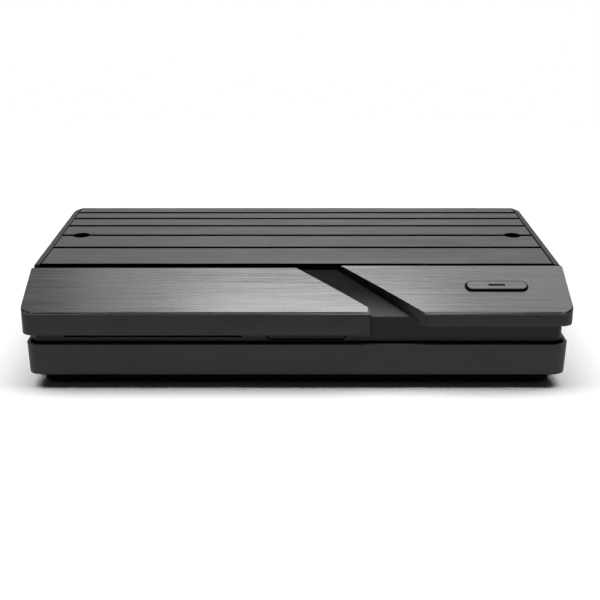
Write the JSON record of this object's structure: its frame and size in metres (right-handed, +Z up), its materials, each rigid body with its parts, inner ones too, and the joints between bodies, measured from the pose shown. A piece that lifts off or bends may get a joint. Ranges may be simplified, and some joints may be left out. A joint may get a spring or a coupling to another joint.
{
  "type": "satellite tv receiver",
  "caption": "Flat set-top satellite receiver: ribbed lid, two sloped front covers split by a slanted channel, push button, card slit, rear sockets.",
  "frame": {"origin": "middle of the whole object on the plane that the feet rest on", "axes": "+X along the width to the right of someone facing the front, -Y out of the front, +Z up"},
  "size_m": [0.2238, 0.128, 0.0457],
  "materials": {
    "base_plastic": "fine moulded texture, anthracite",
    "frame_plastic": "satin moulded, near black",
    "cover_aluminium": "brushed along the width, dark anodised",
    "lid_aluminium": "brushed along the width, dark anodised",
    "button_aluminium": "brushed, dark anodised",
    "light_guide": "smoked clear plastic",
    "window_plastic": "infrared-clear black plastic",
    "foot_rubber": "soft matte rubber",
    "panel_steel": "black powder coat",
    "screw_steel": "zinc plated",
    "screw_black": "black zinc",
    "board_laminate": "green solder mask",
    "chip_epoxy": "black moulded epoxy",
    "pad_silicone": "soft thermal silicone",
    "sink_aluminium": "extruded, clear anodised",
    "pin_plastic": "black nylon",
    "ferrite": "grey moulded ferrite",
    "can_aluminium": "drawn capacitor can",
    "can_steel": "tin plated",
    "connector_nickel": "nickel plated brass",
    "socket_steel": "nickel plated shell",
    "socket_plastic": "black moulded",
    "led_resin": "clear resin",
    "ribbon": "white ribbon laminate",
    "switch_plastic": "black moulded"
  },
  "bodies": {
    "housing": {"base_shell": "base_plastic", "rubber_feet": "foot_rubber", "middle_frame": "frame_plastic", "top_cover": "lid_aluminium", "front_cover_left": "cover_aluminium", "front_cover_right": "cover_aluminium", "ir_window": "window_plastic", "rear_panel": "panel_steel", "lid_screws": "screw_black", "base_screws": "screw_black", "board_screws": "screw_steel", "main_board": "board_laminate", "button_board": "board_laminate", "button_board_screws": "screw_steel", "tact_switch": "switch_plastic", "button_flex_cable": "ribbon", "flex_sockets": "socket_plastic", "soc_chip": "chip_epoxy", "thermal_pad": "pad_silicone", "heat_sink": "sink_aluminium", "heat_sink_pins": "pin_plastic", "memory_chips": "chip_epoxy", "flash_chip": "chip_epoxy", "power_inductors": "ferrite", "capacitors": "can_aluminium", "tuner_can": "can_steel", "tuner_can_lid": "can_steel", "f_connectors": "connector_nickel", "f_washers": "connector_nickel", "f_nuts": "connector_nickel", "hdmi_socket": "socket_steel", "usb_socket": "socket_steel", "lan_socket": "socket_plastic", "optical_socket": "socket_plastic", "infrared_jack": "socket_plastic", "dc_jack": "socket_plastic", "card_reader": "socket_steel", "ir_receiver": "chip_epoxy", "status_led": "led_resin", "wifi_module": "can_steel"},
    "button": {"power_button": "button_aluminium", "button_light_guide": "light_guide"},
    "plunger": {"switch_plunger": "switch_plastic"},
    "shutter": {"optical_shutter": "socket_plastic"}
  },
  "joints": [
    {"name": "power_button_press", "type": "slide", "parent": "housing", "child": "button", "axis": [0, 0.3907, -0.9205], "range_m": [0, 0.0005], "stiffness_N_per_m": 600},
    {"name": "switch_plunger_press", "type": "slide", "parent": "housing", "child": "plunger", "axis": [0, 0.3907, -0.9205], "range_m": [0, 0.0005]},
    {"name": "optical_shutter_swing", "type": "hinge", "parent": "housing", "child": "shutter", "pos_m": [0.036, 0.052, 0.0283], "axis": [-1, 0, 0], "range_deg": [0, 80], "stiffness_Nm_per_rad": 0.0003}
  ],
  "couplings": [
    {"joint": "switch_plunger_press", "follows": "power_button_press", "ratio": 1}
  ]
}
